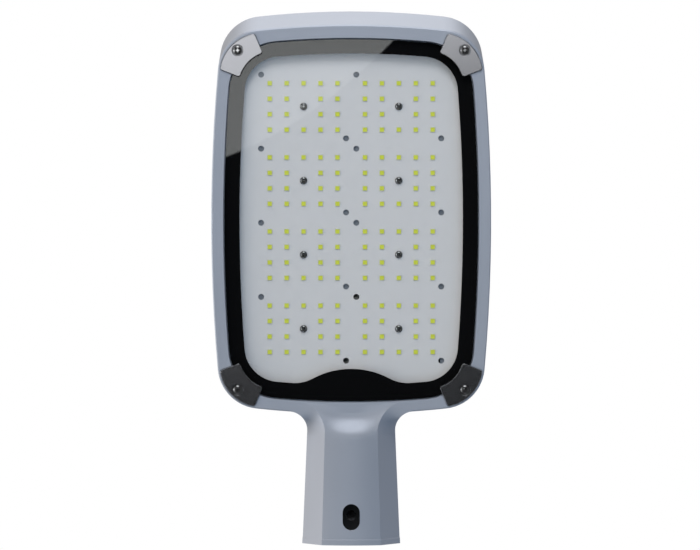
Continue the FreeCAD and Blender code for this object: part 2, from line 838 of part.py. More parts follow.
def corner_clamp():
    """The nose clamp on the +X side."""
    plate = clamp_plate(0.0, clamp_z, glass_z)
    x, y = clamp_layout()[3]
    y += head_centre_y
    hole = upright(m4["d"] / 2.0 + screw_clearance, x, y, clamp_z - 1.0, glass_z + 1.0)
    sink = upright(counterbore_d / 2.0, x, y, clamp_z - 1.0, clamp_seat_z)
    return plate.cut([hole, sink])


def led_board():
    """The board, with a hole for each screw, each fitting pin and the lead."""
    board = prism(recess_outline(window_inset - board_margin), board_z, seat_z)
    holes = []
    for x, y in module_centres():
        holes.append(upright(m3["d"] / 2.0 + screw_clearance, x, y, board_z - 1.0, seat_z + 1.0))
        for side in (1, -1):
            hole_x = x + side * tool_hole_x
            hole_y = y + side * tool_hole_y
            holes.append(upright(tool_hole_d / 2.0, hole_x, hole_y, board_z - 1.0, seat_z + 1.0))
    hole_x = lead_out_x + lead_hole_shift
    holes.append(upright(lead_hole_d / 2.0, hole_x, lead_out_y, board_z - 1.0, seat_z + 1.0))
    return board.cut(holes)


def led_group(x, y):
    """Eighteen LEDs round one board screw."""
    leds = []
    for row in range(led_rows):
        for column in range(led_columns):
            middle_row = 0 < row < led_rows - 1
            if middle_row and column == led_columns // 2:
                continue
            led_x = x + (column - (led_columns - 1) / 2.0) * led_pitch_x
            led_y = y + (row - (led_rows - 1) / 2.0) * led_pitch_y
            sides = (led_x - led_w / 2.0, led_x + led_w / 2.0, led_y - led_l / 2.0, led_y + led_l / 2.0)
            leds.append(block(sides[0], sides[1], sides[2], sides[3], board_z - led_h, board_z))
    return Part.makeCompound(leds)


def led_driver():
    """The power supply, with two ears at its top."""
    half = driver_w / 2.0
    body = block(-half, half, driver_low_y, driver_high_y, driver_z, room_top_z)
    long_edges = [edge for edge in body.Edges if abs(edge.BoundBox.ZLength - driver_h) < 1e-6]
    body = body.makeFillet(2.0, long_edges)
    for x, y in driver_screw_places():
        side = math.copysign(1.0, x)
        near, far = sorted((side * (half - 1.0), side * (half + ear_out)))
        low_y = y - ear_out / 2.0
        body = body.fuse(block(near, far, low_y, low_y + ear_out, room_top_z - ear_t, room_top_z))
        body = body.cut(upright(m4_low["d"] / 2.0 + screw_clearance, x, y, driver_z, room_top_z + 1.0))
    return body.removeSplitter()


def terminal_block():
    """The terminal block, with a hole for its screw and three wire entries."""
    body = block(block_x - block_w / 2.0, block_x + block_w / 2.0, block_y - block_l / 2.0,
                 block_y + block_l / 2.0, room_top_z - block_h, room_top_z)
    cuts = [upright(m3["d"] / 2.0 + screw_clearance, block_x, block_y, 0, room_top_z + 1.0)]
    entry_y = block_y - block_l / 2.0
    entry_r = block_entry_d / 2.0
    for i in (-1, 0, 1):
        entry_x = block_x + i * block_w * 0.3
        cuts.append(along_y(entry_r, entry_y - 1.0, entry_y + block_entry_l, entry_x, lead_in_z))
    return body.cut(cuts)


def bent_lead(points, radius, diameter):
    """A round lead along two straight runs with one bend between them."""
    first, corner, last = [Vector(*point) for point in points]
    back = (first - corner).normalize()
    on = (last - corner).normalize()
    start = corner + back * radius
    end = corner + on * radius
    middle = corner + (back + on) * (radius * (1.0 - math.sqrt(0.5)))
    edges = [
        Part.LineSegment(first, start).toShape(),
        Part.Arc(start, middle, end).toShape(),
        Part.LineSegment(end, last).toShape(),
    ]
    section = Part.Wire([Part.Circle(first, back, diameter / 2.0).toShape()])
    return Part.Wire(edges).makePipeShell([section], True, False)


def input_lead():
    """From the driver's side to the terminal block."""
    start = (driver_w / 2.0, lead_in_y, lead_in_z)
    corner = (block_x, lead_in_y, lead_in_z)
    end = (block_x, block_y + block_l / 2.0, lead_in_z)
    return bent_lead((start, corner, end), lead_in_r, lead_in_d)


def output_lead():
    """From the driver's underside through the board to its connector."""
    low = board_z - lead_out_d / 2.0 - lead_clear
    start = (lead_out_x, lead_out_y, driver_z)
    corner = (lead_out_x, lead_out_y, low)
    end = (connector_x - connector_w / 2.0, lead_out_y, low)
    return bent_lead((start, corner, end), lead_out_r, lead_out_d)


def board_connector():
    """The plug-in terminal on the board."""
    half = connector_l / 2.0
    return block(connector_x - connector_w / 2.0, connector_x + connector_w / 2.0, lead_out_y - half,
                 lead_out_y + half, board_z - connector_h, board_z)


def cable_gland():
    """Body, flat seal, clamping bush and cap of the gland at the end of the spigot."""
    hex_high = gland_face_y - gland_seal_t
    hex_low = hex_high - gland_hex_t
    collar_low = hex_low - gland_collar_l
    cap_low = hex_low - gland_cap_l
    cable = along_y(gland_cable_d / 2.0, cap_low - 1.0, room_rear_y + 5.0)
    collar_r = gland_thread_d / 2.0 + 0.5
    thread = along_y(gland_thread_d / 2.0, hex_high - 1.0, room_rear_y + 1.0)
    grip = lay_along_y(hexagon(gland_af, hex_low, hex_high, 0, 0))
    collar = along_y(collar_r, collar_low, hex_low + 1.0)
    body = thread.fuse([grip, collar]).removeSplitter().cut(cable)
    flat_seal = along_y(gland_af / 2.0, hex_high, gland_face_y)
    flat_seal = flat_seal.cut(along_y(gland_thread_d / 2.0, 0, big))
    cap_r = gland_af / 2.0
    bush_low = cap_low + gland_cap_t
    dome = Part.makeCone(cap_r - gland_dome, cap_r, gland_dome, Vector(0, cap_low, 0), Vector(0, 1, 0))
    cap = dome.fuse(along_y(cap_r, cap_low + gland_dome, hex_low)).removeSplitter()
    cap = cap.cut([along_y(collar_r, bush_low, hex_low + 1.0), cable])
    bush = along_y(collar_r, bush_low, collar_low).cut(cable)
    return {"gland_body": body, "gland_flat_seal": flat_seal, "gland_cap": cap, "gland_bush": bush}


def pole_screw(y):
    """A set screw with a hexagon socket in its outer end."""
    low = bore_r + pole_screw_back
    high = low + pole_screw_l
    shank = upright(pole_screw_d / 2.0, 0, y, low, high)
    return shank.cut(hexagon(pole_key_af, high - pole_key_af, high + 1.0, 0, y))


def pole_screw_nut(y):
    """The lock nut of a pole screw, on the pad."""
    nut = hexagon(pole_nut_af, pole_pad_z, pole_pad_z + pole_nut_h, 0, y)
    return nut.cut(upright(pole_screw_d / 2.0, 0, y, 0, big))


nodes = {
    "housing": housing(),
    "glass_cover": glass_cover(),
    "glass_border_print": glass_border_print(),
    "glass_gasket": glass_gasket(),
    "led_board": led_board(),
    "board_connector": board_connector(),
    "led_driver": led_driver(),
    "terminal_block": terminal_block(),
    "input_lead": input_lead(),
    "output_lead": output_lead(),
}
for place, clamp in four_corners(corner_clamp()).items():
    nodes["clamp_" + place] = clamp
for index, (led_x, led_y) in enumerate(module_centres()):
    nodes["led_group_" + str(index + 1)] = led_group(led_x, led_y)
nodes.update(cable_gland())

ear_z = room_top_z - ear_t
driver_screw_l = room_screw_bite + ear_t
block_screw_l = room_screw_bite + block_h
earth_screw_l = room_screw_bite + earth_post_h
screw_sets = {
    "clamp_screws": [pan_screw(m4, x, y, clamp_seat_z, clamp_screw_l) for x, y in clamp_screw_places()],
    "board_screws": [pan_screw(m3, x, y, board_z, board_screw_l) for x, y in module_centres()],
    "driver_screws": [pan_screw(m4_low, x, y, ear_z, driver_screw_l) for x, y in driver_screw_places()],
    "terminal_screw": [pan_screw(m3, block_x, block_y, room_top_z - block_h, block_screw_l)],
    "earth_screw": [pan_screw(m4_low, earth_x, block_y, earth_seat_z, earth_screw_l)],
    "pole_screws": [pole_screw(y) for y in pole_screw_places()],
    "pole_screw_nuts": [pole_screw_nut(y) for y in pole_screw_places()],
}
for name, screws in screw_sets.items():
    nodes[name] = screws[0] if len(screws) == 1 else Part.makeCompound(screws)

for name, shape in nodes.items():
    save(name, shape)
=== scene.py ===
import json
import math
import bpy
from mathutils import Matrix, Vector

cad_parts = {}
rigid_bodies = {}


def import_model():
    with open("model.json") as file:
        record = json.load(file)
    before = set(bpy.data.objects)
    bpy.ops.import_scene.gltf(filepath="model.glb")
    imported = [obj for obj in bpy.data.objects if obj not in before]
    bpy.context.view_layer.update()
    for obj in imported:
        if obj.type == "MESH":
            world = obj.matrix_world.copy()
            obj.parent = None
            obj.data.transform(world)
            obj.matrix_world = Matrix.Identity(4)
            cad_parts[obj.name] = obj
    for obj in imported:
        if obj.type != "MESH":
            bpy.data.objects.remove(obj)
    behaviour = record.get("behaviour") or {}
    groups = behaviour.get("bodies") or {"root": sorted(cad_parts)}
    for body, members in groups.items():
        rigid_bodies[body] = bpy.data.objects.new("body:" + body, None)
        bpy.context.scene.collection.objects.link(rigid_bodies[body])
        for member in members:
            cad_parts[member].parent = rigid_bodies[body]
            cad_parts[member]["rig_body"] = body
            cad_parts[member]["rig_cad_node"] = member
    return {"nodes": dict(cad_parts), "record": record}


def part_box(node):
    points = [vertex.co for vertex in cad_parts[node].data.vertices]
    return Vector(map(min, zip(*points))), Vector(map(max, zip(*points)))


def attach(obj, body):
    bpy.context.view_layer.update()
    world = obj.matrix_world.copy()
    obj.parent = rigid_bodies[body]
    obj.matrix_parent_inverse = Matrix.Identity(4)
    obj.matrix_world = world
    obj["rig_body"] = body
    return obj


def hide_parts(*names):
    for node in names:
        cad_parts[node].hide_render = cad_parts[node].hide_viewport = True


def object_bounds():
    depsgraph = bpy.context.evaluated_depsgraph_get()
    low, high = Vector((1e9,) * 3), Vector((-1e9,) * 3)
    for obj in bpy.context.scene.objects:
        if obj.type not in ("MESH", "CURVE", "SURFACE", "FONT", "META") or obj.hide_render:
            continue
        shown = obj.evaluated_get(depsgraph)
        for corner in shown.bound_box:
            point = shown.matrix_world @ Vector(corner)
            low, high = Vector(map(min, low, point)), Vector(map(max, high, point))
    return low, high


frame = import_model()
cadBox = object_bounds()
print("frame loaded with", len(frame["nodes"]), "nodes")

mm = 0.001


# Shader maths: a Value wraps one socket, and sums on it add Math nodes
class Value:
    def __init__(self, finish, socket):
        self.finish = finish
        self.socket = socket

    def math(self, operation, *others):
        made = self.finish.node("ShaderNodeMath", {"operation": operation}, dict(enumerate((self,) + others)))
        return Value(self.finish, made.outputs[0])

    def flipped(self, operation, other):
        made = self.finish.node("ShaderNodeMath", {"operation": operation}, {0: other, 1: self})
        return Value(self.finish, made.outputs[0])

    def __add__(self, other):
        return self.math("ADD", other)

    def __radd__(self, other):
        return self.flipped("ADD", other)

    def __sub__(self, other):
        return self.math("SUBTRACT", other)

    def __rsub__(self, other):
        return self.flipped("SUBTRACT", other)

    def __mul__(self, other):
        return self.math("MULTIPLY", other)

    def __rmul__(self, other):
        return self.flipped("MULTIPLY", other)

    def __truediv__(self, other):
        return self.math("DIVIDE", other)

    def above(self, other):
        return self.math("GREATER_THAN", other)

    def below(self, other):
        return self.math("LESS_THAN", other)

    def absolute(self):
        return self.math("ABSOLUTE")

    def clamped(self):
        made = self.finish.node("ShaderNodeClamp", {}, {"Value": self})
        return Value(self.finish, made.outputs[0])


class Finish:
    def __init__(self, owner):
        self.owner = owner
        owner.use_nodes = True
        self.tree = owner.node_tree
        self.tree.nodes.clear()

    # One node of any kind: its settings first, then the values or links of its sockets
    def node(self, kind, settings, sockets):
        made = self.tree.nodes.new(kind)
        for name, value in settings.items():
            if name == "stops":
                ramp = made.color_ramp.elements
                for i, (place, colour) in enumerate(value):
                    stop = ramp[i] if i < 2 else ramp.new(place)
                    stop.position = place
                    stop.color = colour
            else:
                setattr(made, name, value)
        for name, value in sockets.items():
            if isinstance(value, Value):
                value = value.socket
            if isinstance(value, bpy.types.NodeSocket):
                self.tree.links.new(value, made.inputs[name])
            else:
                made.inputs[name].default_value = value
        return made

    def place(self):
        return self.node("ShaderNodeTexCoord", {}, {}).outputs["Object"]

    def split(self, vector):
        made = self.node("ShaderNodeSeparateXYZ", {}, {"Vector": vector})
        return [Value(self, made.outputs[i]) for i in range(3)]

    def axes(self):
        return self.split(self.place())

    def noise(self, scale, detail=2.0, roughness=0.5):
        sockets = {"Vector": self.place(), "Scale": scale, "Detail": detail, "Roughness": roughness}
        made = self.node("ShaderNodeTexNoise", {}, sockets)
        return Value(self, made.outputs["Fac"])

    def colours(self, factor, stops):
        return self.node("ShaderNodeValToRGB", {"stops": stops}, {"Fac": factor}).outputs["Color"]

    def mixed(self, factor, first, second):
        made = self.node("ShaderNodeMix", {"data_type": "RGBA"}, {0: factor, 6: first, 7: second})
        return made.outputs[2]

    def mixedShaders(self, factor, first, second):
        sockets = {0: factor, 1: first.outputs[0], 2: second.outputs[0]}
        return self.node("ShaderNodeMixShader", {}, sockets)

    def bump(self, height, distance):
        sockets = {"Height": height, "Distance": distance, "Strength": 1.0}
        return self.node("ShaderNodeBump", {}, sockets).outputs["Normal"]

    def output(self, shader, kind="ShaderNodeOutputMaterial"):
        self.node(kind, {}, {"Surface": shader})


def newFinish(name):
    return Finish(bpy.data.materials.new(name))


def opaque(r, g, b):
    return (r, g, b, 1.0)


def shade(colour, factor):
    return (colour[0] * factor, colour[1] * factor, colour[2] * factor, 1.0)


# Two tones of one colour for a ramp over a noise, a little darker and a little lighter
def tones(colour, variation):
    darkAt, lightAt = 0.3, 0.7
    return [(darkAt, shade(colour, 1.0 - variation)), (lightAt, shade(colour, 1.0 + variation))]


# Paint over the casting, with painted shade: black in the bore and darker behind the board's holes
def castPaint():
    look = {
        "paint": opaque(0.335, 0.375, 0.455),
        "variation": 0.035,
        "patchScale": 9.0,
        "patchDetail": 3.0,
        "grainScale": 1500.0,
        "grainRoughness": 0.6,
        "grainHeight": 0.00004,
        "roughness": 0.38,
        "roughnessSpread": 0.08,
        "metallic": 0.35,
        "clear": 0.3,
        "clearRoughness": 0.25,
        "boreShade": opaque(0.035, 0.035, 0.037),
        "boreShadeRadius": 30.62 * mm,
        "boreShadeEnd": 67.0 * mm,
        # painted shade beneath the board: how much of the paint colour is taken away
        "pan": 0.45,
        "panDepth": 1.0 * mm,
    }
    finish = newFinish("castPaint")
    patches = finish.noise(look["patchScale"], look["patchDetail"])
    grain = finish.noise(look["grainScale"], roughness=look["grainRoughness"])
    x, y, z = finish.axes()
    # Painted shade: the inside of the pole bore, out to its end, is black
    unshadedShare = (x * x + z * z).above(look["boreShadeRadius"] ** 2).math("MAXIMUM", y.above(look["boreShadeEnd"]))
    low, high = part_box("led_board")
    middle = (low + high) / 2.0
    # Painted shade: the casting beneath the board, seen through its holes, is darkened
    boardHoleShade = (z - high.z).absolute().below(look["panDepth"])
    boardHoleShade = boardHoleShade * x.absolute().below(high.x)
    boardHoleShade = boardHoleShade * (y - middle.y).absolute().below(high.y - middle.y)
    unshadedShare = unshadedShare * (1.0 - boardHoleShade * look["pan"])
    paint = finish.colours(patches, tones(look["paint"], look["variation"]))
    shader = finish.node("ShaderNodeBsdfPrincipled", {}, {
        "Base Color": finish.mixed(unshadedShare, look["boreShade"], paint),
        "Roughness": look["roughness"] + (grain - 0.5) * look["roughnessSpread"],
        "Metallic": look["metallic"],
        "Coat Weight": look["clear"],
        "Coat Roughness": look["clearRoughness"],
        "Normal": finish.bump(grain, look["grainHeight"]),
    })
    finish.output(shader.outputs[0])
    return finish.owner


# Clear through, with a mirror that grows towards the slant
def clearGlass():
    look = {
        "tint": opaque(0.975, 0.985, 0.985),
        "straightOn": 0.02,
        "slantPower": 5.0,
        "gloss": 0.003,
    }
    finish = newFinish("clearGlass")
    through = finish.node("ShaderNodeBsdfTransparent", {}, {"Color": look["tint"]})
    gloss = finish.node("ShaderNodeBsdfAnisotropic", {}, {"Roughness": look["gloss"]})
    facing = finish.node("ShaderNodeLayerWeight", {}, {"Blend": 0.5}).outputs["Facing"]
    slant = Value(finish, facing).math("POWER", look["slantPower"])
    mirrored = look["straightOn"] + slant * (1.0 - look["straightOn"])
    finish.output(finish.mixedShaders(mirrored, through, gloss).outputs[0])
    return finish.owner


# A finish of one colour with a fine grain, and a painted shade on faces that lean far from level where it has
# one
def plain(name, look):
    finish = newFinish(name)
    grain = finish.noise(look["grainScale"])
    colour = finish.colours(grain, tones(look["colour"], look["variation"]))
    # Painted shade: faces that lean far from level, such as the rims of the screw domes, are darkened
    if look.get("steepShade"):
        normal = finish.node("ShaderNodeNewGeometry", {}, {}).outputs["Normal"]
        upright = finish.split(normal)[2].absolute()
        flat = ((upright - look["flatFrom"]) / look["flatSpread"]).clamped()
        colour = finish.mixed(flat, look["steepShade"], colour)
    sockets = {
        "Base Color": colour,
        "Roughness": look["roughness"] + (grain - 0.5) * look["roughnessSpread"],
        "Metallic": look["metallic"],
    }
    if look.get("grainHeight"):
        sockets["Normal"] = finish.bump(grain, look["grainHeight"])
    if look.get("specular"):
        sockets["Specular IOR Level"] = look["specular"]
    shader = finish.node("ShaderNodeBsdfPrincipled", {}, sockets)
    finish.output(shader.outputs[0])
    return finish.owner


finishLooks = {
    "borderPrint": {
        "colour": opaque(0.004, 0.004, 0.0045), "variation": 0.02, "grainScale": 6.0,
        "roughness": 0.003, "roughnessSpread": 0.001, "metallic": 0.0, "specular": 0.92,
    },
    "sealRubber": {
        "colour": opaque(0.02, 0.02, 0.021), "variation": 0.15, "grainScale": 400.0,
        "roughness": 0.75, "roughnessSpread": 0.1, "metallic": 0.0, "grainHeight": 0.00003,
    },
    "clampMetal": {
        "colour": opaque(0.53, 0.54, 0.575), "variation": 0.02, "grainScale": 900.0,
        "roughness": 0.18, "roughnessSpread": 0.03, "metallic": 1.0, "grainHeight": 0.000003,
    },
    "screwSteel": {
        "colour": opaque(0.6, 0.61, 0.63), "variation": 0.05, "grainScale": 500.0,
        "roughness": 0.1, "roughnessSpread": 0.04, "metallic": 1.0,
    },
    # Screw steel with a painted shade on the leaning faces of the domed heads
    "panSteel": {
        "colour": opaque(0.6, 0.61, 0.63), "variation": 0.05, "grainScale": 500.0,
        "roughness": 0.1, "roughnessSpread": 0.04, "metallic": 1.0,
        "steepShade": opaque(0.03, 0.03, 0.033), "flatFrom": 0.62, "flatSpread": 0.12,
    },
    "boardMask": {
        "colour": opaque(0.54, 0.53, 0.555), "variation": 0.01, "grainScale": 120.0,
        "roughness": 0.45, "roughnessSpread": 0.05, "metallic": 0.0,
    },
    "ledPhosphor": {
        "colour": opaque(0.54, 0.585, 0.042), "variation": 0.03, "grainScale": 700.0,
        "roughness": 0.4, "roughnessSpread": 0.05, "metallic": 0.0,
    },
    "ledFrame": {
        "colour": opaque(0.5, 0.52, 0.26), "variation": 0.02, "grainScale": 700.0,
        "roughness": 0.35, "roughnessSpread": 0.05, "metallic": 0.0,
    },
    "paleNylon": {
        "colour": opaque(0.75, 0.75, 0.72), "variation": 0.02, "grainScale": 300.0,
        "roughness": 0.5, "roughnessSpread": 0.08, "metallic": 0.0,
    },
    "driverCase": {
        "colour": opaque(0.7, 0.71, 0.72), "variation": 0.03, "grainScale": 220.0,
        "roughness": 0.35, "roughnessSpread": 0.08, "metallic": 1.0,
    },
    "glandNylon": {
        "colour": opaque(0.015, 0.015, 0.017), "variation": 0.1, "grainScale": 500.0,
        "roughness": 0.5, "roughnessSpread": 0.08, "metallic": 0.0,
    },
    "leadSheath": {
        "colour": opaque(0.02, 0.02, 0.02), "variation": 0.1, "grainScale": 500.0,
        "roughness": 0.6, "roughnessSpread": 0.08, "metallic": 0.0,
    },
}
finishes = {name: plain(name, look) for name, look in finishLooks.items()}
finishes["castPaint"] = castPaint()
finishes["clearGlass"] = clearGlass()
slotFinishes = {
    "casting": "castPaint",
    "glass": "clearGlass",
    "border_print": "borderPrint",
    "seal": "sealRubber",
    "clamp_plate": "clampMetal",
    "screw_steel": "screwSteel",
    "board": "boardMask",
    "led": "ledPhosphor",
    "connector": "paleNylon",
    "driver_case": "driverCase",
    "terminal": "paleNylon",
    "gland": "glandNylon",
    "lead": "leadSheath",
}
slotOf = {row["node"]: row["material_slot"] for row in frame["record"]["subparts"]}


def wear(piece, finishName):
    piece.data.materials.clear()
    piece.data.materials.append(finishes[finishName])


for name, node in frame["nodes"].items():
    wear(node, slotFinishes[slotOf[name]])
print("finishes made:", len(finishes))


# Small steps that every piece uses
def clearSelection():
    bpy.ops.object.select_all(action="DESELECT")


def choose(piece):
    clearSelection()
    piece.select_set(True)
    bpy.context.view_layer.objects.active = piece


def named(name):
    piece = bpy.context.view_layer.objects.active
    piece.name = name
    piece.data.name = name
    return piece


def enterEdit():
    bpy.ops.object.mode_set(mode="EDIT")


def leaveEdit():
    bpy.ops.object.mode_set(mode="OBJECT")


def startPick(piece, kind):
    choose(piece)
    enterEdit()
    bpy.ops.mesh.select_mode(type=kind)
    bpy.ops.mesh.select_all(action="DESELECT")
    leaveEdit()


def pickFaces(piece, test):
    startPick(piece, "FACE")
    for face in piece.data.polygons:
        face.select = test(face.normal)
    enterEdit()


def pickEdges(piece, test):
    startPick(piece, "EDGE")
    points = piece.data.vertices
    for edge in piece.data.edges:
        first, second = edge.vertices
        edge.select = test(points[first].co, points[second].co)
    enterEdit()


levelFrom = 0.9


def facesUp(normal):
    return normal.z > levelFrom


def facesDown(normal):
    return normal.z < -levelFrom


def bakePlace(turned=False, scaled=False):
    bpy.ops.object.transform_apply(location=True, rotation=turned, scale=scaled)


def smoothBy(piece, degrees):
    choose(piece)
    bpy.ops.object.shade_smooth_by_angle(angle=math.radians(degrees))


# Flat faces keep their flat shading beside the bevels
def evenNormals(piece):
    choose(piece)
    weighted = piece.modifiers.new("even", "WEIGHTED_NORMAL")
    weighted.keep_sharp = True
    weighted.weight = 100
    bpy.ops.object.modifier_apply(modifier="even")


# Hangs a finished piece on the root body and hides the CAD nodes it stands for
def settle(piece, slotName, *nodes):
    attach(piece, "root")
    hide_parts(*nodes)


def placedCopy(source, name, place, turn=0.0):
    choose(source)
    bpy.ops.object.duplicate()
    piece = named(name)
    piece.location = place
    piece.rotation_euler = (0.0, 0.0, turn)
    bakePlace(turned=True)
    return piece


def joined(pieces, name):
    choose(pieces[0])
    for piece in pieces:
        piece.select_set(True)
    bpy.ops.object.join()
    return named(name)


# A CAD node's own copy, its loose triangles merged and its flat faces made one
def mergedCopy(nodeName, name):
    look = {"gap": 0.01 * mm, "flat": 0.5}
    choose(frame["nodes"][nodeName])
    bpy.ops.object.duplicate()
    piece = named(name)
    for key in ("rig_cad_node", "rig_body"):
        if key in piece:
            del piece[key]
    piece.parent = None
    bpy.ops.mesh.customdata_custom_splitnormals_clear()
    enterEdit()
    bpy.ops.mesh.select_all(action="SELECT")
    bpy.ops.mesh.remove_doubles(threshold=look["gap"])
    bpy.ops.mesh.dissolve_limited(angle_limit=math.radians(look["flat"]))
    leaveEdit()
    return piece


def boxMiddle(nodeName):
    low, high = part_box(nodeName)
    return (low + high) / 2.0


# The print lies a hair above the glass, so that the two faces don't fight
def borderPrint():
    look = {"lift": 0.02 * mm, "smooth": 20.0}
    piece = mergedCopy("glass_border_print", "borderPrint")
    enterEdit()
    bpy.ops.mesh.select_all(action="SELECT")
    bpy.ops.transform.translate(value=(0.0, 0.0, look["lift"]))
    leaveEdit()
    smoothBy(piece, look["smooth"])
    settle(piece, "border_print", "glass_border_print")


def cornerPlates():
    look = {"edge": 0.35 * mm, "steps": 3, "sharp": 35.0, "smooth": 40.0}
    for place in ("nose_left", "nose_right", "neck_left", "neck_right"):
        side, hand = place.split("_")
        piece = mergedCopy("clamp_" + place, side + hand.capitalize() + "Plate")
        bevel = piece.modifiers.new("edge", "BEVEL")
        bevel.width = look["edge"]
        bevel.segments = look["steps"]
        bevel.limit_method = "ANGLE"
        bevel.angle_limit = math.radians(look["sharp"])
        bpy.ops.object.modifier_apply(modifier="edge")
        smoothBy(piece, look["smooth"])
        evenNormals(piece)
        settle(piece, "clamp_plate", "clamp_" + place)


# One of the two bars that cut the cross into a screw's head, narrower at its bottom
def crossBar(look, turn):
    bpy.ops.mesh.primitive_cube_add(size=1.0, location=(0.0, 0.0, -look["headH"]))
    bar = named("crossBar")
    bar.scale = (look["crossL"], look["crossW"], look["crossDeep"] * 2.0)
    bakePlace(scaled=True)
    pickFaces(bar, facesUp)
    bpy.ops.transform.resize(value=(look["crossTaper"], look["crossNarrow"], 1.0))
    leaveEdit()
    bar.rotation_euler = (0.0, 0.0, turn)
    bakePlace(turned=True)
    return bar


# A pan head screw on the origin: its seat at z = 0 and its head towards -Z. The head is
# domed on a taller cylinder, then pressed flat to its height
def panScrew(name, look):
    reach = look["headD"] / 2.0
    bpy.ops.mesh.primitive_cylinder_add(
        vertices=look["sides"], radius=reach, depth=reach, location=(0.0, 0.0, -reach / 2.0)
    )
    piece = named(name)
    bakePlace()
    pickEdges(piece, lambda first, second: max(first.z, second.z) < -look["rimFrom"] * reach)
    bpy.ops.mesh.bevel(offset=look["dome"] * reach, segments=look["domeSteps"], affect="EDGES")
    leaveEdit()
    piece.scale = (1.0, 1.0, look["headH"] / reach)
    bakePlace(scaled=True)
    pickFaces(piece, facesUp)
    bpy.ops.mesh.inset(thickness=reach - look["shankD"] / 2.0)
    bpy.ops.mesh.extrude_region_move(TRANSFORM_OT_translate={"value": (0.0, 0.0, look["shankL"])})
    leaveEdit()
    for turn in (0.0, math.pi / 2.0):
        bar = crossBar(look, turn)
        choose(piece)
        cut = piece.modifiers.new("cross", "BOOLEAN")
        cut.object = bar
        cut.operation = "DIFFERENCE"
        cut.solver = "EXACT"
        bpy.ops.object.modifier_apply(modifier="cross")
        bpy.data.objects.remove(bar)
    smoothBy(piece, look["smooth"])
    evenNormals(piece)
    return piece


clampScrewLook = {
    "headD": 7.0 * mm, "headH": 1.9 * mm, "shankD": 4.0 * mm, "shankL": 12.0 * mm, "sides": 48,
    "rimFrom": 0.99, "dome": 0.9, "domeSteps": 10, "smooth": 35.0,
    "crossL": 3.6 * mm, "crossW": 1.15 * mm, "crossDeep": 0.8 * mm, "crossTaper": 0.75, "crossNarrow": 0.7,
    "turns": (0.05, -0.12, 0.16, -0.04),
}
boardScrewLook = {
    "headD": 5.6 * mm, "headH": 2.2 * mm, "shankD": 3.0 * mm, "shankL": 4.6 * mm, "sides": 40,
    "rimFrom": 0.99, "dome": 0.9, "domeSteps": 10, "smooth": 35.0,
    "crossL": 2.6 * mm, "crossW": 0.8 * mm, "crossDeep": 0.8 * mm, "crossTaper": 0.7, "crossNarrow": 0.7,
    "turns": (0.02, 0.1, -0.08, 0.05, -0.14, 0.0, 0.12, -0.05),
}


def screwSet(name, nodeName, places, look):
    model = panScrew(name + "Model", look)
    copies = [placedCopy(model, name + "Copy", place, turn) for place, turn in zip(places, look["turns"])]
    bpy.data.objects.remove(model)
    piece = joined(copies, name)
    wear(piece, "panSteel")
    settle(piece, "screw_steel", nodeName)


def clampScrews():
    low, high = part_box("clamp_screws")
    reach = clampScrewLook["headD"] / 2.0
    seat = low.z + clampScrewLook["headH"]
    places = [(x, y, seat) for x in (low.x + reach, high.x - reach) for y in (low.y + reach, high.y - reach)]
    screwSet("clampScrews", "clamp_screws", places, clampScrewLook)


ledGroups = ["led_group_" + str(i + 1) for i in range(8)]


def boardScrews():
    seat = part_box("board_screws")[0].z + boardScrewLook["headH"]
    places = [(boxMiddle(group).x, boxMiddle(group).y, seat) for group in ledGroups]
    screwSet("boardScrews", "board_screws", places, boardScrewLook)


borderPrint()
cornerPlates()
clampScrews()
boardScrews()
print("print, plates and screws made")


# One LED on the origin: its foot at z = 0 and its window towards -Z
def ledChip():
    look = {"width": 3.5 * mm, "length": 3.5 * mm, "height": 0.7 * mm, "frame": 0.22 * mm, "sunk": 0.08 * mm}
    bpy.ops.mesh.primitive_cube_add(size=1.0, location=(0.0, 0.0, -look["height"] / 2.0))
    chip = named("ledChip")
    chip.scale = (look["width"], look["length"], look["height"])
    bakePlace(scaled=True)
    chip.data.materials.append(finishes["ledFrame"])
    chip.data.materials.append(finishes["ledPhosphor"])
    pickFaces(chip, facesDown)
    bpy.ops.mesh.inset(thickness=look["frame"])
    bpy.ops.mesh.extrude_region_move(TRANSFORM_OT_translate={"value": (0.0, 0.0, look["sunk"])})
    chip.active_material_index = 1
    bpy.ops.object.material_slot_assign()
    leaveEdit()
    return chip


# A group's LEDs hang from the board and leave the middle free for its screw
def ledArray():
    layout = {
        "columns": 5, "rows": 4, "pitchX": 12.75 * mm, "pitchY": 11.65 * mm,
        "screwColumn": 2, "screwRows": (1, 2),
    }
    chip = ledChip()
    for group in ledGroups:
        low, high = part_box(group)
        middle = (low + high) / 2.0
        copies = []
        for column in range(layout["columns"]):
            for row in range(layout["rows"]):
                if column == layout["screwColumn"] and row in layout["screwRows"]:
                    continue
                x = middle.x + (column - (layout["columns"] - 1) / 2.0) * layout["pitchX"]
                y = middle.y + (row - (layout["rows"] - 1) / 2.0) * layout["pitchY"]
                copies.append(placedCopy(chip, "chip", (x, y, high.z)))
        piece = joined(copies, "leds" + group.rsplit("_", 1)[1])
        settle(piece, "led", group)
    bpy.data.objects.remove(chip)


ledArray()
print("LEDs made")


# The camera stands straight below the glass and looks up
def photoCamera():
    view = {
        "lens": 205.7,
        "sensor": 36.0,
        "near": 0.05,
        "far": 60.0,
        "place": (0.0009, 0.2022, -3.024),
    }
    data = bpy.data.cameras.new("photoCamera")
    data.lens = view["lens"]
    data.sensor_width = view["sensor"]
    data.clip_start = view["near"]
    data.clip_end = view["far"]
    camera = bpy.data.objects.new("photoCamera", data)
    camera.location = view["place"]
    camera.rotation_euler = (0.0, math.pi, 0.0)
    bpy.context.scene.collection.objects.link(camera)
    bpy.context.scene.camera = camera


# A plane for the stage that casts no light or shadow on the head, and its empty finish
def stagePlane(name, size, place):
    clearSelection()
    bpy.ops.mesh.primitive_plane_add(size=size, location=place)
    plane = named(name)
    plane.visible_diffuse = False
    plane.visible_shadow = False
    plane.visible_transmission = False
    finish = newFinish(name)
    plane.data.materials.append(finish.owner)
    return plane, finish


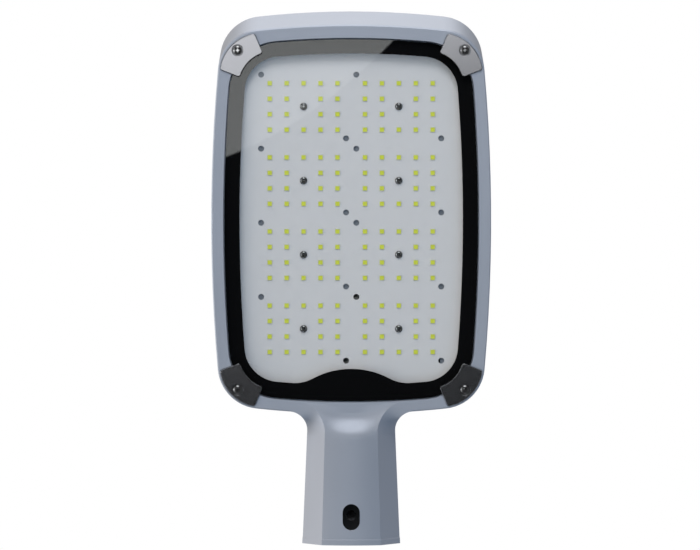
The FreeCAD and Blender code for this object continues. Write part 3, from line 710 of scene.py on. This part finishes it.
# A pale floor from above that is clear from below, where the camera stands
def studioFloor():
    look = {"size": 30.0, "middle": 0.2, "gap": 0.5 * mm, "colour": opaque(0.9, 0.9, 0.9), "pale": 0.5}
    place = (0.0, look["middle"], cadBox[0].z - look["gap"])
    floor, finish = stagePlane("studioFloor", look["size"], place)
    floor.visible_glossy = False
    lit = finish.node("ShaderNodeBsdfDiffuse", {}, {"Color": look["colour"]})
    white = finish.node("ShaderNodeEmission", {}, {"Strength": 1.0})
    clear = finish.node("ShaderNodeBsdfTransparent", {}, {})
    under = finish.node("ShaderNodeNewGeometry", {}, {}).outputs["Backfacing"]
    top = finish.mixedShaders(look["pale"], lit, white)
    finish.output(finish.mixedShaders(under, top, clear).outputs[0])


# Only shiny faces see this card: lit above a curved edge, and fading out in a circle
def reflectionCard():
    look = {
        "size": 3.5,
        "depth": -3.1,
        "middle": (0.0, 0.45),
        "strength": 1.35,
        "edge": (0.4978, -0.86, 1.33),
        "ceiling": 0.575,
        "soft": 0.004,
        "reach": 0.65,
        "fade": 8.0,
    }
    card, finish = stagePlane("reflectionCard", look["size"], (*look["middle"], look["depth"]))
    bakePlace()
    card.visible_camera = False
    x, y = finish.axes()[:2]
    start, slope, bend = look["edge"]
    edge = (start + x * slope + x * x * bend).math("MINIMUM", look["ceiling"])
    lit = ((y - edge) / look["soft"] + 0.5).clamped()
    off = y - look["middle"][1]
    inside = (1.0 - (x * x + off * off) / look["reach"] ** 2) * look["fade"]
    dark = finish.node("ShaderNodeEmission", {}, {"Strength": 0.0})
    glow = finish.node("ShaderNodeEmission", {}, {"Strength": look["strength"]})
    finish.output(finish.mixedShaders(lit * inside.clamped(), dark, glow).outputs[0])


def softLamp(name, plan):
    data = bpy.data.lights.new(name, "AREA")
    data.shape = "RECTANGLE"
    data.size, data.size_y = plan["size"]
    data.energy = plan["power"]
    lamp = bpy.data.objects.new(name, data)
    lamp.location = plan["place"]
    lamp.rotation_euler = (Vector(lampAim) - lamp.location).to_track_quat("-Z", "Y").to_euler()
    lamp.visible_glossy = plan["glossy"]
    bpy.context.scene.collection.objects.link(lamp)


# The world's soft light has a level and its slopes along X, Y and Z for each channel,
# and an even level from above. Shiny faces see a dark front, a grey rear, a window past
# the nose, one at the side and a small spot instead
def studioWorld():
    look = {
        "red": (0.45, 0.8, 0.43, -0.51),
        "green": (0.35, 0.6, 0.29, -0.72),
        "blue": (0.26, 0.38, 0.15, -0.89),
        "turnAside": 0.8,
        "above": (0.58, 0.6, 0.63),
        "aboveFrom": 0.2,
        "aboveTurn": 2.0,
        "noseWindow": (0.62, 0.9, 1.75),
        "sideWindow": (0.62, 0.9, 0.6),
        "spotWay": (0.95, -0.31),
        "spot": (0.92, 1.0, 3.0),
        "rear": 0.4,
        "front": 0.05,
        "turn": 6.0,
    }
    world = bpy.data.worlds.new("studioWorld")
    bpy.context.scene.world = world
    finish = Finish(world)
    rays = finish.node("ShaderNodeLightPath", {}, {})
    seen = Value(finish, rays.outputs["Is Camera Ray"]) + Value(finish, rays.outputs["Is Transmission Ray"])
    glossy = Value(finish, rays.outputs["Is Glossy Ray"])
    x, y, z = finish.split(finish.node("ShaderNodeTexCoord", {}, {}).outputs["Generated"])

    def window(along, start, full, strength):
        return ((along - start) / (full - start)).clamped() * strength

    behind = (z * look["turn"] + 0.5).clamped()
    mirrored = look["front"] + behind * (look["rear"] - look["front"])
    mirrored = mirrored + window(y, *look["noseWindow"]) * behind + window(x, *look["sideWindow"])
    spotY, spotZ = look["spotWay"]
    mirrored = mirrored + window(y * spotY + z * spotZ, *look["spot"])
    above = ((z - look["aboveFrom"]) * look["aboveTurn"]).clamped()
    channels = {}
    for i, channel in enumerate(("red", "green", "blue")):
        level, across, along, up = look[channel]
        aside = x * across * (1.0 - y * look["turnAside"])
        soft = (level + aside + y * along + z * up).math("MAXIMUM", 0.0)
        soft = soft + above * (look["above"][i] - soft)
        channels[i] = seen + (1.0 - seen) * (soft + glossy * (mirrored - soft))
    colour = finish.node("ShaderNodeCombineColor", {}, channels)
    back = finish.node("ShaderNodeBackground", {}, {"Color": colour.outputs[0], "Strength": 1.0})
    finish.output(back.outputs[0], "ShaderNodeOutputWorld")


lampAim = (0.0, 0.22, 0.0)
lampPlan = {
    "noseKey": {"place": (0.1, 1.45, -1.15), "size": (0.7, 0.7), "power": 12.0, "glossy": False},
    "sideKey": {"place": (2.2, 0.25, -0.45), "size": (0.3, 0.7), "power": 5.0, "glossy": True},
    "topFill": {"place": (-0.6, -0.6, 2.2), "size": (1.6, 1.6), "power": 6.0, "glossy": True},
}
photoCamera()
studioFloor()
reflectionCard()
studioWorld()
for name, plan in lampPlan.items():
    softLamp(name, plan)
print("camera, stage and lamps placed")

bpy.context.scene.view_settings.view_transform = "Standard"
